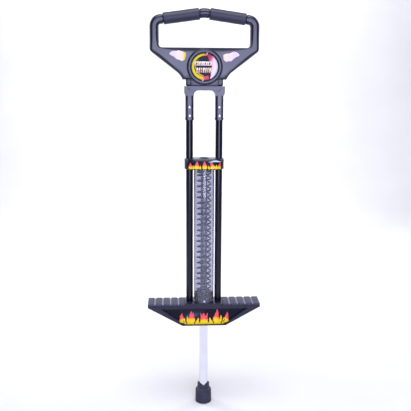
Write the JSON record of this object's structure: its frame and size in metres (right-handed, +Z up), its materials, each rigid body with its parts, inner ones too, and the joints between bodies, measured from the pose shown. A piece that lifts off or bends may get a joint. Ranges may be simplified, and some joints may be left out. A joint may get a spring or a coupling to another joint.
{
  "type": "pogo stick",
  "caption": "Pogo stick with a closed D-shaped handle and foam grips, twin frame tubes, a coil spring in a clear guard, a ribbed footrest and a plunger with a rubber foot.",
  "frame": {"origin": "centre of the rubber foot's ground face, on the plunger's axis", "axes": "+Z up along the plunger, +X to the right along the footrest, -Y towards the front, the side with the dial"},
  "size_m": [0.315, 0.0614, 1.1071],
  "materials": {
    "moulded_plastic": "moulded, fine grain, semi-matt",
    "grip_foam": "closed-cell foam, matt",
    "dial_film": "printed film, gloss",
    "decal_film": "printed film, gloss",
    "gloss_tube": "gloss powder coat",
    "zinc_screws": "zinc plated",
    "rod_steel": "drawn, oiled",
    "dark_steel": "blackened",
    "spring_steel": "phosphated spring wire",
    "nylon": "turned nylon",
    "clear_guard": "clear extruded plastic",
    "tread_plastic": "moulded, matt",
    "chrome_tube": "polished chrome plate",
    "foot_rubber": "moulded rubber, matt"
  },
  "bodies": {
    "frame": {"handle_front_shell": "moulded_plastic", "handle_back_shell": "moulded_plastic", "grip_left": "grip_foam", "grip_right": "grip_foam", "grip_collar": "moulded_plastic", "bezel_ring": "moulded_plastic", "dial_face": "dial_film", "wing_decal_left": "decal_film", "wing_decal_right": "decal_film", "shell_screws": "zinc_screws", "handle_yoke": "moulded_plastic", "yoke_screws": "zinc_screws", "socket_screws": "zinc_screws", "frame_tube_left": "gloss_tube", "frame_tube_right": "gloss_tube", "mid_bridge": "moulded_plastic", "bridge_decal": "decal_film", "bridge_screws": "zinc_screws", "guide_rod": "rod_steel", "rod_bolt": "dark_steel", "rod_bush": "nylon", "upper_spring_seat": "dark_steel", "spring": "spring_steel", "clear_guard": "clear_guard", "guard_collar": "moulded_plastic", "guard_rivet": "zinc_screws", "footrest_body": "moulded_plastic", "tread_left": "tread_plastic", "tread_right": "tread_plastic", "footrest_decal": "decal_film", "footrest_screws": "zinc_screws", "plunger_bush": "nylon"},
    "plunger": {"plunger_tube": "chrome_tube", "lower_spring_seat": "dark_steel", "rebound_bumper": "foot_rubber", "rubber_foot": "foot_rubber", "foot_washer": "zinc_screws", "plunger_plug": "nylon", "foot_pin": "zinc_screws"}
  },
  "joints": [
    {"name": "plunger_slide", "type": "slide", "parent": "frame", "child": "plunger", "axis": [0, 0, 1], "range_m": [0, 0.12], "stiffness_N_per_m": 6000, "springref_m": -0.02, "deforming": ["spring"]}
  ]
}
